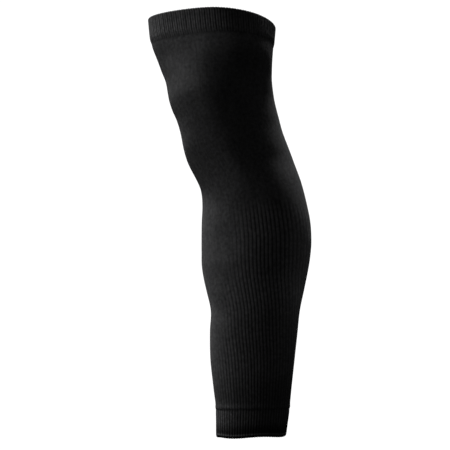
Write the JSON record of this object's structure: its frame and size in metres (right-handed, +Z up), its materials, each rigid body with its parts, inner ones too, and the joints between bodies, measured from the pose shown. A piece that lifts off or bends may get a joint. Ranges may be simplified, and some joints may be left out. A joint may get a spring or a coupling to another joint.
{
  "type": "leg sleeve",
  "caption": "Knitted compression sleeve for the leg from mid-thigh to ankle, plain over the knee and ribbed over the calf, with a doubled ribbed cuff at each end.",
  "frame": {"origin": "centre of the thigh opening, on the plane of its hem, where the sleeve sits on the thigh", "axes": "+Z up the leg, -X to the front with the kneecap and shin, +X to the calf, Y from side to side"},
  "size_m": [0.2056, 0.1734, 0.5245],
  "materials": {
    "tube_knit": "black stretch jersey, matt, ribbed over the calf",
    "cuff_knit": "black doubled rib knit, matt"
  },
  "bodies": {
    "root": {"thigh_cuff": "cuff_knit", "leg_tube": "tube_knit", "ankle_cuff": "cuff_knit"}
  },
  "joints": []
}
